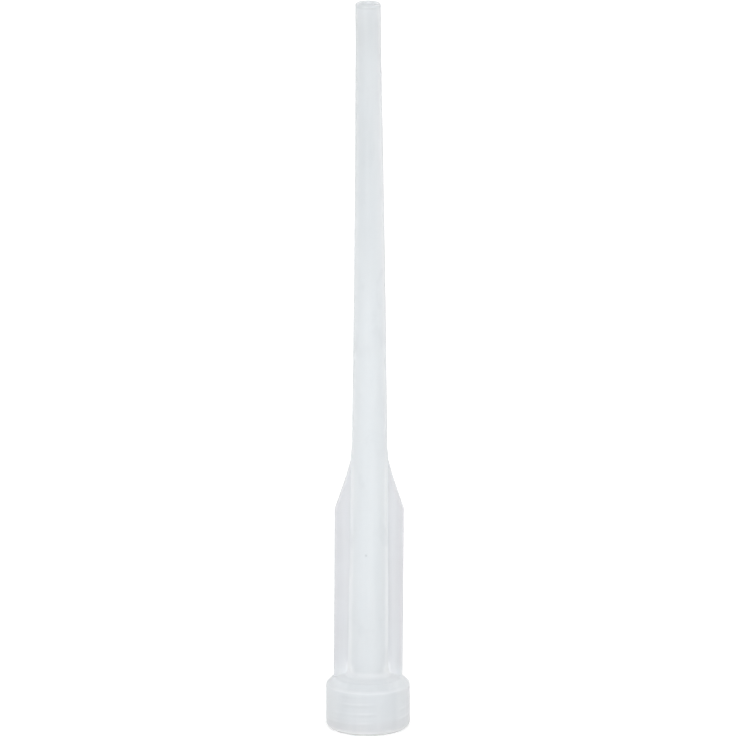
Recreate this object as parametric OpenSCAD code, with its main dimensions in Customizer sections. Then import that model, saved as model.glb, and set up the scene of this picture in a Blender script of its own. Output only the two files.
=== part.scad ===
// Extra-long screw-on nozzle for a sealant cartridge, moulded in one piece from natural polyethylene.
// It stands on the rim of its threaded collar, with the open tip up and the grip wings left and right.

/* [Overall] */

// Height from the collar's rim to the open tip
overall_h = 190; // [120:1:240]

/* [Collar] */

// Outside diameter of the collar
collar_od = 21.3; // [20:0.1:26]
// Height of the collar's straight side, from the rim to the shoulder's bevel
collar_h = 11.2; // [11:0.1:16]
// 45 degree bevel around the outside of the rim
rim_bevel = 0.9; // [0.3:0.1:1.2]
// Width of the 45 degree bevel between the collar's side and the shoulder
shoulder_bevel = 1.95; // [1.2:0.05:2.5]
// Slope of the shoulder from its bevel up to the tube, degrees from level
shoulder_slope = 17.5; // [10:0.5:25]
// Thickness of the shoulder, along the axis
shoulder_wall = 1.5; // [1.2:0.1:1.8]

/* [Thread] */

// Inside diameter at the bottom of the thread's groove
thread_major = 15.6; // [14:0.1:16.4]
// Depth of the groove below the ridge's crest
thread_depth = 0.7; // [0.4:0.05:0.8]
// Distance between turns
thread_pitch = 2.5; // [2.2:0.1:3]
// Width of the ridge's flat crest
thread_crest = 1.3; // [1.2:0.05:1.4]
// Width of the groove's flat bottom
thread_bottom = 0.4; // [0.2:0.05:0.5]
// Height above the rim at which the groove starts to run out
thread_top = 9.4; // [7:0.1:9.8]
// Turn over which the groove runs out, degrees
thread_run_out = 70; // [40:5:120]

/* [Tube] */

// Outside diameter of the tube where it meets the shoulder
tube_foot_d = 10.45; // [10:0.05:11]
// Outside diameter of the tip
tip_d = 6.4; // [5.8:0.1:8]
// Length of the tip's straight, untapered end
tip_straight = 10; // [4:1:20]
// Diameter of the open channel at the foot of the tube
channel_foot_d = 8; // [7:0.1:8.2]
// Diameter of the outlet at the tip
outlet_d = 4.4; // [4:0.1:4.8]

/* [Wings] */

// Width over both wings at their upper corners
wing_span = 17.6; // [14:0.1:17.6]
// Width over both wings where they meet the shoulder
wing_foot_span = 17.5; // [14:0.1:17.6]
// Thickness of a wing
wing_t = 1.6; // [1.4:0.1:2.2]
// Height of a wing's upper corner above the rim
wing_corner_z = 57.2; // [30:0.2:65]
// Height at which a wing's sloping top meets the tube
wing_top_z = 70; // [68:0.5:100]
// Bevel around a wing's free edges
wing_bevel = 0.3; // [0.1:0.05:0.5]

/* [Edges] */

// Radius of the fillet between the shoulder and the tube
foot_fillet = 1; // [0.4:0.1:1.5]
// Radius that softens the shoulder's bevel, above and below
bevel_round = 0.9; // [0.2:0.1:1]
// Radius of the tip's outer edge
tip_round = 0.6; // [0.2:0.05:0.6]
// Radius that breaks the remaining edges
edge_round = 0.2; // [0.1:0.05:0.25]

/* [Hidden] */

collar_r = collar_od / 2;
shoulder_r = collar_r - shoulder_bevel;
shoulder_z = collar_h + shoulder_bevel;
tube_foot_r = tube_foot_d / 2;
tube_foot_z = shoulder_z + (shoulder_r - tube_foot_r) * tan(shoulder_slope);
tip_r = tip_d / 2;
outlet_r = outlet_d / 2;
tip_z = overall_h - tip_straight;

// the bore that the thread's crests leave open, and the seat above it
crest_r = thread_major / 2 - thread_depth;
groove_r = thread_major / 2;
mouth_r = groove_r + 0.25;
channel_foot_r = channel_foot_d / 2;
seat_z = shoulder_z + (shoulder_r - crest_r) * tan(shoulder_slope) - shoulder_wall;
channel_foot_z = seat_z + (crest_r - channel_foot_r) * tan(shoulder_slope);

// the groove's cutter reaches this far into the open bore
groove_reach = 0.45;
flank = (thread_pitch - thread_crest - thread_bottom) / 2 / thread_depth;
steps_per_turn = 40;

// a wing's root lies in the middle of the tube's wall
wall_foot = (tube_foot_r + channel_foot_r) / 2;
stem_taper = (tube_foot_r - tip_r) / (tip_z - tube_foot_z);
core_taper = (channel_foot_r - outlet_r) / (tip_z - channel_foot_z);
wing_corner_x = wing_span / 2;
wing_top_x = tube_foot_r - (wing_top_z - tube_foot_z) * stem_taper;
wing_rise = (wing_top_z - wing_corner_z) / (wing_corner_x - wing_top_x);
wing_root_x = wing_top_x - (wing_top_x - channel_foot_r + (wing_top_z - channel_foot_z) * core_taper) / 2;

$fn = 96;
arc_steps = 4;

function unit(v) = v / norm(v);

// the corner at b, between a and c, as points on an arc; each of them is [x, y, radius]
function corner(a, b, c) =
    let (p = [b.x, b.y], u = unit([a.x, a.y] - p), v = unit([c.x, c.y] - p))
    let (half = acos(u * v) / 2, m = p + unit(u + v) * b.z / sin(half), t = b.z / tan(half))
    [for (k = [0:arc_steps]) m + b.z * unit((p + u * t - m) * (1 - k / arc_steps) + (p + v * t - m) * k / arc_steps)];

// a closed outline with its corners rounded
function rounded(path) =
    let (n = len(path))
    [for (i = [0:n - 1]) each path[i].z == 0
        ? [[path[i].x, path[i].y]]
        : corner(path[(i + n - 1) % n], path[i], path[(i + 1) % n])];

// The moulding's wall, cut through along the axis: up the outside and down the channel.
module wall_section() {
    polygon(rounded([
        [collar_r - rim_bevel, 0, edge_round],
        [collar_r, rim_bevel, edge_round],
        [collar_r, collar_h, bevel_round],
        [shoulder_r, shoulder_z, bevel_round],
        [tube_foot_r, tube_foot_z, foot_fillet],
        [tip_r, tip_z, 0],
        [tip_r, overall_h, tip_round],
        [outlet_r, overall_h, edge_round],
        [outlet_r, tip_z, 0],
        [channel_foot_r, channel_foot_z, edge_round],
        [crest_r, seat_z, 0],
        [crest_r, mouth_r - crest_r, 0],
        [mouth_r, 0, edge_round],
    ]));
}

// The groove's own section at one angle: how far out it reaches, and its width there.
function groove_ring(angle, r) =
    let (z = angle / 360 * thread_pitch)
    let (inner = thread_bottom / 2 + flank * (groove_r - crest_r + groove_reach))
    let (r_in = r - thread_depth - groove_reach)
    [for (p = [[r_in, -inner], [r, -thread_bottom / 2], [r, thread_bottom / 2], [r_in, inner]])
        [p.x * cos(angle), p.x * sin(angle), z + p.y]];

// One helical solid that leaves the thread's groove in the collar's bore. It is open at the rim and
// runs out at the top by drawing in towards the axis.
module thread_groove() {
    start = -ceil(steps_per_turn * 0.4);
    full = floor(thread_top / thread_pitch * steps_per_turn);
    fade = ceil(thread_run_out / 360 * steps_per_turn);
    last = full + fade - start;
    rings = [for (i = [start:full + fade])
        groove_ring((i + 0.5) * 360 / steps_per_turn, groove_r - max(0, i - full) / fade * (thread_depth + 0.1))];
    side = [for (i = [0:last - 1], k = [0:3])
        let (a = i * 4 + k, b = i * 4 + (k + 1) % 4)
        each [[a, b, a + 4], [b, b + 4, a + 4]]];
    end = [for (f = [[0, 1, 2], [0, 2, 3]]) [for (k = f) last * 4 + k]];
    polyhedron(points = [for (ring = rings) each ring], faces = concat([[2, 1, 0], [3, 2, 0]], side, end));
}

// A wing's outline, seen face on, drawn in by d along its free edges.
module wing_outline(d) {
    drop = d * sqrt(1 + wing_rise * wing_rise);
    outer = wing_corner_x - d;
    foot = wing_foot_span / 2 - d;
    polygon([
        [wall_foot, tube_foot_z - shoulder_wall / 2],
        [foot, shoulder_z - shoulder_wall / 2],
        [outer, wing_corner_z - drop + wing_rise * d],
        [wing_root_x, wing_top_z - drop + wing_rise * (wing_top_x - wing_root_x)],
    ]);
}

// One flat grip wing, with its free edges bevelled on both faces.
module wing() {
    hull() {
        for (layer = [[wing_t, wing_bevel], [wing_t - 2 * wing_bevel, 0]])
            rotate([90, 0, 0])
                linear_extrude(height = layer[0], center = true)
                    wing_outline(layer[1]);
    }
}

// Collar, shoulder, tube and wings: one moulding.
module nozzle() {
    color([0.88, 0.9, 0.9]) {
        difference() {
            rotate_extrude() wall_section();
            thread_groove();
        }
        for (turn = [0, 180]) rotate([0, 0, turn]) wing();
    }
}

nozzle();
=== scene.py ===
import math

import bpy
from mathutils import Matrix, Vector


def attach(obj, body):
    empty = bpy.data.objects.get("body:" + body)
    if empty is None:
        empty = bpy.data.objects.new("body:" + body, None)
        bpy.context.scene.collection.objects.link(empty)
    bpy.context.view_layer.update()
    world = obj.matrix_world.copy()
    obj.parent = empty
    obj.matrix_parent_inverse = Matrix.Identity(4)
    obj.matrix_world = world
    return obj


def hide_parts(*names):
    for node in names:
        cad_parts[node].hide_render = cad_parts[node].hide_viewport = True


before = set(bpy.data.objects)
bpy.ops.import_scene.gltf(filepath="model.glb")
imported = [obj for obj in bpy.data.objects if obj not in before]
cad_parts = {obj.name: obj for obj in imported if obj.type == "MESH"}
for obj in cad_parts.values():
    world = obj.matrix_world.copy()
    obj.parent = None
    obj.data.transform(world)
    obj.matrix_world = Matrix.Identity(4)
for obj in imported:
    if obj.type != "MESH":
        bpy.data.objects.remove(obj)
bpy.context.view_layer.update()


# The nozzle is one injection moulding in natural, undyed polyethylene, and nothing is fitted to it.
# A threaded collar carries a domed shoulder, and from it rises a slender tapered tube with a flat grip
# wing on each side. It comes off a core, so its channel is round all the way up to the open tip.

class Socket:
    """An output in a node tree. A sum written with it adds the nodes that work the sum out."""

    def __init__(self, tree, socket):
        self.tree = tree
        self.socket = socket

    def sum(self, operation, *values):
        vectors = any(isinstance(v, Socket) and v.socket.type == "VECTOR" for v in values)
        kind = "ShaderNodeVectorMath" if vectors else "ShaderNodeMath"
        return self.tree.add(kind, {"operation": operation}, dict(enumerate(values)))[0]

    def __add__(self, other):
        return self.sum("ADD", self, other)

    def __radd__(self, other):
        return self.sum("ADD", other, self)

    def __sub__(self, other):
        return self.sum("SUBTRACT", self, other)

    def __rsub__(self, other):
        return self.sum("SUBTRACT", other, self)

    def __mul__(self, other):
        return self.sum("MULTIPLY", self, other)

    def __rmul__(self, other):
        return self.sum("MULTIPLY", other, self)

    def __truediv__(self, other):
        return self.sum("DIVIDE", self, other)

    def __rtruediv__(self, other):
        return self.sum("DIVIDE", other, self)

    def __floordiv__(self, other):
        return self.sum("FLOOR", self / other)

    def __mod__(self, other):
        return self.sum("FLOORED_MODULO", self, other)

    def __abs__(self):
        return self.sum("ABSOLUTE", self)

    def __gt__(self, other):
        return self.sum("GREATER_THAN", self, other)

    def __lt__(self, other):
        return self.sum("LESS_THAN", self, other)

    def sin(self):
        return self.sum("SINE", self)

    def cos(self):
        return self.sum("COSINE", self)

    def root(self):
        return self.sum("SQRT", self)

    def nearest(self):
        """The nearest whole number."""
        return self.sum("ROUND", self)

    def at_least(self, other):
        return self.sum("MAXIMUM", self, other)

    def at_most(self, other):
        return self.sum("MINIMUM", self, other)

    def angle_from(self, other):
        """The angle of a direction from its y, which is this socket, and its x."""
        return self.sum("ARCTAN2", self, other)

    def length(self):
        return self.sum("LENGTH", self)

    def parts(self):
        return self.tree.add("ShaderNodeSeparateXYZ", {}, {0: self})

    def blended_over(self, other, reach):
        """The larger of the two, with a fillet where they meet."""
        return self.sum("SMOOTH_MAX", self, other, reach)

    def blended_under(self, other, reach):
        """The smaller of the two, with a round where they meet."""
        return self.sum("SMOOTH_MIN", self, other, reach)

    def ramp(self, start, end):
        """0 at start, 1 at end and a soft rise between."""
        values = {"Value": self, "From Min": start, "From Max": end}
        return self.tree.add("ShaderNodeMapRange", {"interpolation_type": "SMOOTHSTEP"}, values)[0]

    def band(self, start, full, fading, end):
        """A soft rise from start to full, and a soft fall back to 0 from fading to end."""
        return self.ramp(start, full) * (1 - self.ramp(fading, end))

    def near(self, aim, core, reach):
        """1 within core of the aim, and a soft fall to 0 at reach from it."""
        return 1 - abs(self - aim).ramp(core, reach)


class Tree:
    """The node tree of a modifier, a material or the world."""

    def __init__(self, nodes):
        self.nodes = nodes

    def add(self, kind, settings=None, values=None):
        """Adds a node: its settings, then its sockets' values or links. Returns the outputs in use."""
        node = self.nodes.nodes.new(kind)
        for name, setting in (settings or {}).items():
            setattr(node, name, setting)
        inputs = [s for s in node.inputs if s.enabled]
        for name, value in (values or {}).items():
            if isinstance(name, int):
                socket = inputs[name]
            else:
                socket = next(s for s in inputs if s.name == name)
            if isinstance(value, Socket):
                self.nodes.links.new(value.socket, socket)
            elif socket.type == "VECTOR" and isinstance(value, (int, float)):
                socket.default_value = (value, value, value)
            else:
                socket.default_value = value
        return [Socket(self, s) for s in node.outputs if s.enabled]


MM = 0.001
degree = math.radians(1)

# the wall's section, in millimetres: outside upwards, over the tip and down the channel
collar_r, collar_h, rim_bevel = 10.65, 11.2, 0.9
shoulder_r, shoulder_z = 8.7, 13.15
dome = math.tan(17.5 * degree)
shoulder_wall = 1.5
foot_r, tip_r, channel_foot_r, outlet_r = 5.225, 3.2, 4.0, 2.2
foot_z = shoulder_z + (shoulder_r - foot_r) * dome
nozzle_h, straight = 190.0, 10.0
tip_z = nozzle_h - straight
taper = (foot_r - tip_r) / (tip_z - foot_z)

# the thread, a right-handed groove inside the collar that opens at the mouth
crest_r, groove_depth, pitch = 7.1, 0.7, 2.5
groove_bottom, groove_mouth = 0.4, 1.2
thread_top, run_out = 9.4, 70 / 360 * pitch
lead_in = 0.25
mouth_r = crest_r + groove_depth + lead_in
seat_z = shoulder_z + (shoulder_r - crest_r) * dome - shoulder_wall

# the wings, and how far the cooling tube bowed to one side
wing_r, wing_foot_r, wing_half_t = 8.8, 8.75, 0.8
wing_corner_z, wing_top_z = 57.2, 70.0
bow, bow_foot_z = 0.44, 10.0


def wall_section():
    """The corners of the wall's section, each with its radius, height and rounding."""
    outside = [
        (collar_r - rim_bevel, 0, 0.4),
        (collar_r, rim_bevel, 0.9),
        (collar_r, collar_h, 0.9),
        (shoulder_r, shoulder_z, 0.9),
        (foot_r, foot_z, 1.0),
        (tip_r, tip_z, 0),
        (tip_r, nozzle_h, 0.5),
    ]
    channel = [
        (outlet_r, nozzle_h, 0.2),
        (outlet_r, tip_z, 0),
        (channel_foot_r, seat_z + (crest_r - channel_foot_r) * dome, 0.3),
        (crest_r, seat_z, 0.15),
        (crest_r, mouth_r - crest_r, 0),
        (mouth_r, 0, 0.2),
    ]
    return outside + channel


def rounded(corners, steps=6, guard=0.08):
    """The closed section with its corners turned into arcs, and a point just past each arc's ends."""
    points = []
    for i, (radius, height, rounding) in enumerate(corners):
        corner = Vector((radius, height))
        if rounding == 0:
            points.append(corner)
            continue
        before = (Vector(corners[i - 1][:2]) - corner).normalized()
        after = (Vector(corners[(i + 1) % len(corners)][:2]) - corner).normalized()
        half = before.angle(after) / 2
        centre = corner + (before + after).normalized() * rounding / math.sin(half)
        reach = rounding / math.tan(half)
        start = corner + before * reach
        end = corner + after * reach
        points.append(start + before * guard)
        for k in range(steps + 1):
            spoke = (start - centre).lerp(end - centre, k / steps)
            points.append(centre + spoke.normalized() * rounding)
        points.append(end + after * guard)
    return points


def stations(points, marks):
    """The section's points, closer where the thread and the wings need it, and one at each mark."""
    thread_gap, shoulder_gap, wing_top_gap, tube_gap = 0.1, 0.3, 1.2, 4
    out = []
    for a, b in zip(points, points[1:] + points[:1]):
        middle = (a + b) / 2
        if middle.x < crest_r + 1 and middle.y < seat_z:
            gap = thread_gap
        elif middle.y < foot_z + 1:
            gap = shoulder_gap
        elif wing_corner_z - 3 < middle.y < wing_top_z + 4:
            gap = wing_top_gap
        else:
            gap = tube_gap
        count = max(1, math.ceil((b - a).length / gap))
        shares = [k / count for k in range(count)]
        if b.y > a.y:
            shares += [(mark - a.y) / (b.y - a.y) for mark in marks if a.y < mark < b.y]
        out += [a.lerp(b, share) for share in sorted(shares)]
    return out


def nozzle_form(material, outside_stations):
    """A tree that turns the section round the axis, draws out the wings and cuts the thread."""
    group = bpy.data.node_groups.new("nozzle_form", "GeometryNodeTree")
    group.is_modifier = True
    group.interface.new_socket("Section", in_out="INPUT", socket_type="NodeSocketGeometry")
    sizes = {
        "Outside Stations": outside_stations, "Seat Height": seat_z,
        "Wing Columns": 33, "Tube Columns": 14, "Wing Column": 0.4 * degree,
        "Wing Radius": wing_r, "Wing Foot Radius": wing_foot_r, "Wing Half Thickness": wing_half_t,
        "Wing Corner Height": wing_corner_z, "Wing Top Height": wing_top_z,
        "Wing Top Radius": foot_r - (wing_top_z - foot_z) * taper,
        "Wing Root Fillet": 1.8, "Wing Edge Round": 0.7,
        "Crest Radius": crest_r, "Groove Depth": groove_depth, "Pitch": pitch,
        "Groove Bottom": groove_bottom, "Groove Mouth": groove_mouth,
        "Thread Top": thread_top, "Run Out": run_out,
        "Bow": bow, "Bow Foot": bow_foot_z, "Height": nozzle_h,
    }
    for name, size in sizes.items():
        kind = "NodeSocketInt" if isinstance(size, int) else "NodeSocketFloat"
        group.interface.new_socket(name, in_out="INPUT", socket_type=kind).default_value = size
    group.interface.new_socket("Nozzle", in_out="OUTPUT", socket_type="NodeSocketGeometry")
    tree = Tree(group)
    section, *values = tree.add("NodeGroupInput")
    size = dict(zip(sizes, values))

    # one row of the grid for each station, and one column for each direction round the axis
    count = tree.add("GeometryNodeAttributeDomainSize", {"component": "MESH"}, {0: section})[0]
    quarter = size["Wing Columns"] + size["Tube Columns"]
    grid_counts = {"Vertices X": 4 * quarter + 1, "Vertices Y": count + 1}
    grid = tree.add("GeometryNodeMeshGrid", {}, grid_counts)[0]
    index = tree.add("GeometryNodeInputIndex")[0]
    column, station = index // (count + 1), index % (count + 1)
    place = tree.add("GeometryNodeInputPosition")[0]
    sampled = tree.add(
        "GeometryNodeSampleIndex", {"data_type": "FLOAT_VECTOR", "domain": "POINT"},
        {"Geometry": section, "Value": place, "Index": station % count})[0]
    radius, _, height = sampled.parts()

    # the columns crowd together at the wings: turn is the angle from the nearer wing's middle
    side, step = column // quarter, column % quarter
    odd = side % 2
    step = odd * (quarter - step) + (1 - odd) * step
    past = (step - size["Wing Columns"]).at_least(0)
    wide = (math.pi / 2 - size["Wing Columns"] * size["Wing Column"]) / size["Tube Columns"]
    turn = (step - past) * size["Wing Column"] + past * wide
    angle = (side + odd) * (math.pi / 2) + (1 - 2 * odd) * turn

    # a wing is a flat plate: the way out along each direction ends at its edge or at its side, and
    # where a direction runs along one of them, the least cosine or sine keeps that way finite
    slope = size["Wing Top Height"] - size["Wing Corner Height"]
    up_slope = ((height - size["Wing Corner Height"]) / slope).at_least(0)
    up_wing = (height / size["Wing Corner Height"]).at_most(1)
    span = size["Wing Foot Radius"] + (size["Wing Radius"] - size["Wing Foot Radius"]) * up_wing
    span = span - up_slope * (size["Wing Radius"] - size["Wing Top Radius"])
    least_cosine, least_sine = 0.02, 0.002
    edge = span / turn.cos().at_least(least_cosine)
    flank = size["Wing Half Thickness"] / turn.sin().at_least(least_sine)
    wing = edge.blended_under(flank, size["Wing Edge Round"])
    on_tube = (height > size["Seat Height"]) * (station < size["Outside Stations"])
    outer = radius.blended_over(wing, size["Wing Root Fillet"] * turn.ramp(2 * degree, 8 * degree))
    formed = radius + on_tube * (outer - radius)

    # the thread's groove, whose middle climbs one pitch in each turn
    turns = angle / (2 * math.pi)
    middle = ((height / size["Pitch"] - turns).nearest() + turns) * size["Pitch"]
    depth = height.near(middle, size["Groove Bottom"] / 2, size["Groove Mouth"] / 2)
    depth = depth * (1 - middle.ramp(size["Thread Top"], size["Thread Top"] + size["Run Out"]))
    groove = size["Crest Radius"] + size["Groove Depth"] * depth
    bore_slack = 0.05
    in_thread = (height < size["Seat Height"]) * (radius > size["Crest Radius"] - bore_slack)
    formed = formed + in_thread * (groove - formed).at_least(0)

    # the bow moves each station sideways, and the seam and the doubled points close up
    bowed = (height - size["Bow Foot"]).at_least(0)
    lean = (bowed * math.pi / (size["Height"] - size["Bow Foot"])).sin() * size["Bow"]
    ways = {"X": formed * angle.cos() + lean, "Y": formed * angle.sin(), "Z": height}
    point = tree.add("ShaderNodeCombineXYZ", {}, ways)[0]
    shell = tree.add("GeometryNodeSetPosition", {}, {"Geometry": grid, "Position": point})[0]
    closed = tree.add("GeometryNodeMergeByDistance", {}, {"Geometry": shell, "Distance": 0.002})[0]
    scaled = tree.add("GeometryNodeTransform", {}, {"Geometry": closed, "Scale": MM})[0]
    smooth = tree.add("GeometryNodeSetShadeSmooth", {}, {"Geometry": scaled, "Shade Smooth": True})[0]
    real = tree.add("GeometryNodeRealizeInstances", {}, {"Geometry": smooth})[0]
    done = tree.add("GeometryNodeSetMaterial", {}, {"Geometry": real, "Material": material})[0]
    tree.add("NodeGroupOutput", {}, {"Nozzle": done})
    return group, sizes


def plain_mesh(name, source, group, sizes):
    """What the tree makes of the source object, as a plain mesh with no modifier."""
    modifier = source.modifiers.new("form", "NODES")
    modifier.node_group = group
    for item in group.interface.items_tree:
        if item.item_type == "SOCKET" and item.name in sizes:
            modifier[item.identifier] = sizes[item.name]
    bpy.context.view_layer.update()
    evaluated = source.evaluated_get(bpy.context.evaluated_depsgraph_get())
    mesh = bpy.data.meshes.new_from_object(evaluated)
    mesh.name = name
    for slot in reversed(range(len(mesh.materials))):
        if mesh.materials[slot] is None:
            mesh.materials.pop(index=slot)
    piece = bpy.data.objects.new(name, mesh)
    bpy.context.collection.objects.link(piece)
    bpy.data.objects.remove(source)
    return piece


def natural_polyethylene():
    """Milky, half clear plastic with a waxy sheen; its colour carries painted light and shade.

    Lengths on the piece are in millimetres here, and noise scales are per metre.
    """
    material = bpy.data.materials.new("natural_polyethylene")
    material.use_nodes = True
    material.node_tree.nodes.clear()
    tree = Tree(material.node_tree)
    place = {s.socket.name: s for s in tree.add("ShaderNodeTexCoord")}["Object"]
    x, y, height = (part / MM for part in place.parts())
    colour = (0.766, 0.797, 0.818, 1)
    # the pale tone below is laid on as painted light and painted highlight
    painted_light_tone = (0.88, 0.9, 0.92, 1)

    def noise(scale, detail=2.0, stretch=(1, 1, 1), shift=0.0):
        """A soft random pattern, finer the larger its scale."""
        values = {"Vector": place, "Location": shift, "Scale": stretch}
        where = tree.add("ShaderNodeMapping", {}, values)[0]
        values = {"Vector": where, "Scale": scale, "Detail": detail, "Roughness": 0.5}
        return tree.add("ShaderNodeTexNoise", {"noise_dimensions": "3D"}, values)[0]

    def tint(where, tone, share=None):
        """Lays a tone over the colour so far: where the mask is 1 all of it, or the share given."""
        nonlocal colour
        factor = where if share is None else where * share
        values = {"Factor": factor, "A": colour, "B": tone}
        colour = tree.add("ShaderNodeMix", {"data_type": "RGBA"}, values)[0]

    # the tube is paler at its foot and greyer towards the tip, greyest in its last few millimetres
    tint(height.ramp(85, 200), (0.695, 0.722, 0.739, 1))
    tint(height.ramp(174, 183), (0.67, 0.694, 0.711, 1))
    tint(1 - height.ramp(14, 50), (0.75, 0.778, 0.799, 1))

    # painted shade and light above the wings: the middle is made greyer and the sides paler, most of
    # all the right one; across runs from -1 at the tube's left side to 1 at its right
    lean = ((height - bow_foot_z) * math.pi / (nozzle_h - bow_foot_z)).sin() * bow
    across = (x - lean) / (foot_r - (height - foot_z) * taper)
    off_axis = abs(across)
    painted_shade_middle = across.near(-0.15, 0.1, 0.7) * height.band(100, 145, 150, 185)
    tint(painted_shade_middle, (0.62, 0.648, 0.67, 1), share=0.35)
    # side masks the painted light on the tube's sides
    side = abs(across + 0.2).ramp(0.5, 1.15) * (1 - off_axis.ramp(0.9, 0.97) * 0.8)
    tint(side * height.ramp(80, 125) * (1 - height.ramp(155, 180) * 0.5), painted_light_tone, share=0.5)

    # painted shade greys the wings' flat faces, most of all out at their edges, and painted light runs
    # pale along the roots
    at_wings = height.band(foot_z - 5, foot_z + 4, wing_top_z - 4, wing_top_z + 2)
    face = abs(y).ramp(wing_half_t * 0.3, wing_half_t * 0.8)
    painted_shade_outwards = off_axis.ramp(0.98, 1.055) * 0.7 + off_axis.ramp(1.2, 1.6) * 0.25
    tint(painted_shade_outwards * at_wings * face, (0.6, 0.605, 0.63, 1))
    # root masks the painted light along the wings' roots
    root = off_axis.band(0.76, 0.93, 0.975, 1.01) * height.ramp(foot_z, foot_z + 0.8)
    tint(root * at_wings, (0.9, 0.92, 0.94, 1), share=0.8)

    # the bevel and the collar's wall are a little greyer than the dome, and greyest at the mouth
    tint(1 - height.ramp(shoulder_z - 0.3, shoulder_z + 0.2), (0.718, 0.745, 0.766, 1))
    tint(1 - height.ramp(collar_h, collar_h + 0.4), (0.75, 0.777, 0.798, 1))
    tint(1 - height.ramp(1.8, 4.8), (0.697, 0.709, 0.73, 1))

    # painted light: the dome, the tube's foot and the wings' feet are made paler where shade gathers in
    # the creases, with a painted highlight round the tube's foot
    from_axis = (x * x + y * y).root()
    near_tube = 1 - from_axis.ramp(5.7, 6.7)
    above_dome = height - shoulder_z - (shoulder_r - from_axis) * dome
    on_dome = height.ramp(shoulder_z, shoulder_z + 0.3)
    painted_light_dome = (1 - abs(above_dome).ramp(0.2, 1.4)) * (1 - off_axis.ramp(1.1, 1.5) * 0.6)
    tint(painted_light_dome * on_dome * (0.3 + near_tube * 0.35), painted_light_tone)
    painted_light_nook = off_axis.band(0.8, 1, 1.1, 1.5) * (1 - above_dome.ramp(1.5, 6))
    tint(painted_light_nook * on_dome, painted_light_tone, share=0.28)
    # corner masks painted light in the crease where tube, wing and dome meet
    corner = off_axis.band(0.6, 0.88, 1.02, 1.15) * (1 - above_dome.ramp(1.5, 3.5))
    tint(corner * near_tube * on_dome, (0.92, 0.94, 0.96, 1), share=0.8)
    # foot masks painted light on the dome beside the wings' feet
    foot = off_axis.band(0.85, 1.1, 1.35, 1.6) * (1 - above_dome.ramp(0.1, 2))
    tint(foot * height.ramp(collar_h + 0.3, collar_h + 0.9), painted_light_tone, share=0.25)

    # a painted highlight runs along the collar's upper edge, painted light lifts its rim out of the
    # floor's shadow, and painted shade greys its two flanks
    painted_light_edge_tone = (0.95, 0.96, 0.97, 1)
    edge_reach, rim_reach = 0.45, 1.4
    # flank masks the painted shade on the collar's flanks
    flank = abs(x).ramp(7, 9.8) * height.band(2, 4, collar_h + 1, shoulder_z)
    painted_highlight_edge = height.near(collar_h + 0.25, edge_reach / 3, edge_reach)
    tint(painted_highlight_edge * (1 - flank), painted_light_edge_tone, share=0.22)
    tint(height.near(0.1, rim_reach / 3, rim_reach), painted_light_edge_tone, share=0.95)
    tint(flank, (0.5, 0.5, 0.51, 1), share=0.1)

    # the thread's turns show faintly through the collar's wall, here more and there less, as painted
    # highlight lines above the crests and darker lines at the grooves
    painted_highlight_climb, groove_line = 1.72, 1.0
    climb = (height / pitch - y.angle_from(x) / (2 * math.pi)) % 1 * pitch
    showing = noise(75, stretch=(1, 1, 0.5), shift=0.013).ramp(0.4, 0.6)
    showing = showing * height.band(1.5, 2.5, 9.5, 11)
    tint(climb.near(painted_highlight_climb, 0.1, 0.45) * showing, painted_light_tone, share=0.6)
    tint(climb.near(groove_line, 0.1, 0.55) * showing, (0.64, 0.66, 0.685, 1), share=0.55)

    # the melt left darker patches, faint clouds and flow lines that run along the tube, and one dark
    # speck in front
    patch = noise(250, stretch=(1, 1, 0.5), shift=0.021).ramp(0.56, 0.72)
    tint(patch * height.ramp(foot_z + 1, foot_z + 5), (0.62, 0.645, 0.67, 1), share=0.22)
    tint(noise(110).ramp(0.35, 0.65), (0.72, 0.76, 0.8, 1), share=0.12)
    tint(noise(500, stretch=(1, 1, 0.06)).ramp(0.4, 0.7), (0.95, 0.96, 0.96, 1), share=0.08)
    speck = (-0.5, -4.8, 46.3)
    from_speck = (place / MM - speck).length()
    tint(1 - from_speck.ramp(0.1, 0.45), (0.4, 0.43, 0.46, 1), share=0.42)

    # the rim of the tip is matt where the moulding was trimmed; painted shade greys its outside to mute
    # the rim's highlight, and painted light pales the outlet's inside
    trimmed = height.ramp(nozzle_h - 1.1, nozzle_h - 0.5)
    outer = from_axis.ramp(2.5, 3.0)
    tint(trimmed * outer, (0.56, 0.58, 0.6, 1), share=0.57)
    tint(trimmed * (1 - outer), (0.85, 0.87, 0.89, 1), share=0.35)

    waxy, uneven, sawn = 0.36, 0.06, 0.2
    roughness = waxy + noise(900) * uneven + trimmed * sawn
    grain = {"Strength": 0.06, "Distance": 0.0001, "Height": noise(2600, detail=3.0)}
    bump = tree.add("ShaderNodeBump", {}, grain)[0]
    surface = tree.add("ShaderNodeBsdfPrincipled", {}, {
        "Base Color": colour, "Roughness": roughness, "Normal": bump, "IOR": 1.45,
        "Alpha": 0.65, "Subsurface Weight": 0.6, "Subsurface Scale": 0.002,
        "Subsurface Radius": (1.0, 1.0, 1.0)})[0]
    tree.add("ShaderNodeOutputMaterial", {}, {"Surface": surface})
    return material


# the stations run up the outside, to the innermost of the highest ones on the tip, and down inside
line = stations(rounded(wall_section()), [wing_corner_z, wing_top_z])
last_outside = max(range(len(line)), key=lambda i: (line[i].y, -line[i].x))
section_mesh = bpy.data.meshes.new("section")
section_mesh.from_pydata([(p.x, 0, p.y) for p in line], [], [])
section = bpy.data.objects.new("section", section_mesh)
bpy.context.collection.objects.link(section)
form, form_sizes = nozzle_form(natural_polyethylene(), last_outside + 1)
nozzle = plain_mesh("nozzle_moulding", section, form, form_sizes)
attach(nozzle, "root")
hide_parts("nozzle")


# The camera looks along +Y and down a little, from so far off that upright lines stay upright.
# The nozzle fills the frame from its tip to the rim of its collar.

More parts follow.
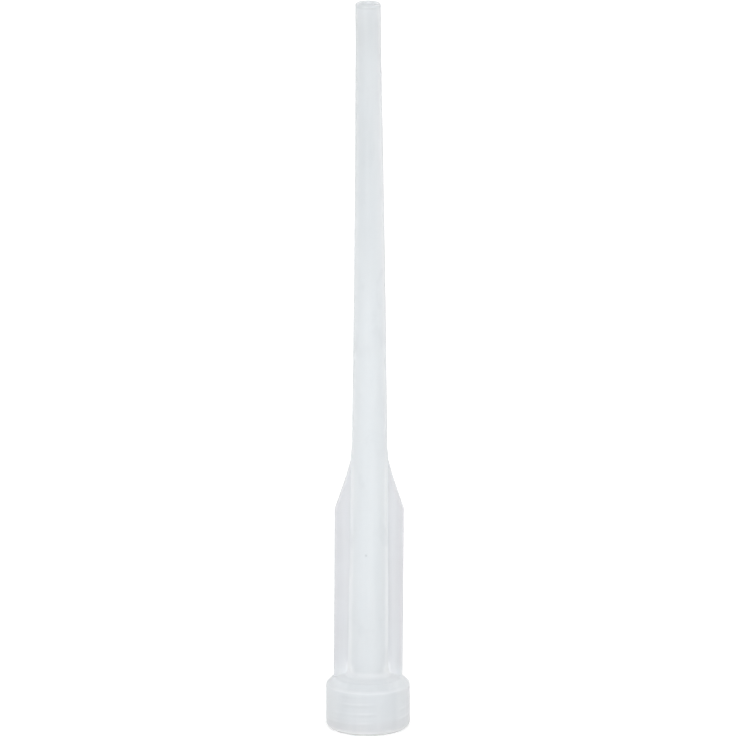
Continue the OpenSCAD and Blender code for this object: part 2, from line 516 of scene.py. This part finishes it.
frame_px = 736
px_per_m = 3944
elevation = 15.6 * degree
aim = Vector((0, 0, 0.09445))
lens, sensor = 1000, 36
distance = frame_px / px_per_m * lens / sensor
away = Vector((0, -math.cos(elevation), math.sin(elevation)))
camera = bpy.data.objects.new("camera", bpy.data.cameras.new("camera"))
camera.data.lens = lens
camera.data.sensor_width = sensor
camera.data.clip_end = 100
camera.location = aim + away * distance
camera.rotation_euler = away.to_track_quat("Z", "Y").to_euler()
bpy.context.collection.objects.link(camera)
bpy.context.scene.camera = camera


# The floor is a wide white board. What the camera sees of it is lifted to white, and the soft shadow at
# the collar's rim stays.

floor_size = 8.0
board_white = (0.8, 0.8, 0.8, 1)
seen_white = 0.27


def seen_directly(tree):
    """1 for what the camera sees, also by reflection and through clear plastic."""
    rays = {s.socket.name: s for s in tree.add("ShaderNodeLightPath")}
    return (rays["Is Camera Ray"] + rays["Is Glossy Ray"] + rays["Is Transmission Ray"]).at_most(1)


floor_material = bpy.data.materials.new("white_board")
floor_material.use_nodes = True
floor_material.node_tree.nodes.clear()
tree = Tree(floor_material.node_tree)
black, white = (0, 0, 0, 1), (1, 1, 1, 1)
lift = {"Factor": seen_directly(tree), "A": black, "B": white}
glow = tree.add("ShaderNodeMix", {"data_type": "RGBA"}, lift)[0]
board = tree.add("ShaderNodeBsdfPrincipled", {}, {
    "Base Color": board_white, "Roughness": 0.9, "Emission Color": glow,
    "Emission Strength": seen_white})[0]
tree.add("ShaderNodeOutputMaterial", {}, {"Surface": board})

floor_mesh = bpy.data.meshes.new("floor")
half = floor_size / 2
corners = [(-half, -half, 0), (half, -half, 0), (half, half, 0), (-half, half, 0)]
floor_mesh.from_pydata(corners, [], [(0, 1, 2, 3)])
floor_mesh.materials.append(floor_material)
floor = bpy.data.objects.new("floor", floor_mesh)
bpy.context.collection.objects.link(floor)


# The light is plain studio light: a white room, and two wide soft lamps above eye level, the stronger
# one in front of the nozzle and the other behind it.

world_light = 0.8
world = bpy.data.worlds.new("white_room")
world.use_nodes = True
world.node_tree.nodes.clear()
tree = Tree(world.node_tree)
strength = world_light + (1 - world_light) * seen_directly(tree)
room = tree.add("ShaderNodeBackground", {}, {"Color": white, "Strength": strength})[0]
tree.add("ShaderNodeOutputWorld", {}, {"Surface": room})
bpy.context.scene.world = world


def soft_lamp(name, turned, raised, off, wide, high, glow):
    """A soft box at a direction from the nozzle, in degrees; turned 0 is in front of it."""
    lamp = bpy.data.lights.new(name, "AREA")
    lamp.shape = "RECTANGLE"
    lamp.size = wide
    lamp.size_y = high
    lamp.energy = glow * math.pi * wide * high
    turned, raised = turned * degree, raised * degree
    level = math.cos(raised)
    way = Vector((math.sin(turned) * level, -math.cos(turned) * level, math.sin(raised)))
    holder = bpy.data.objects.new(name, lamp)
    holder.location = aim + way * off
    holder.rotation_euler = way.to_track_quat("Z", "Y").to_euler()
    bpy.context.collection.objects.link(holder)


soft_lamp("front_lamp", turned=-3, raised=30, off=1.3, wide=2.6, high=0.5, glow=3.0)
soft_lamp("back_lamp", turned=170, raised=35, off=1.5, wide=2.0, high=0.6, glow=1.0)

bpy.context.scene.view_settings.view_transform = "Standard"
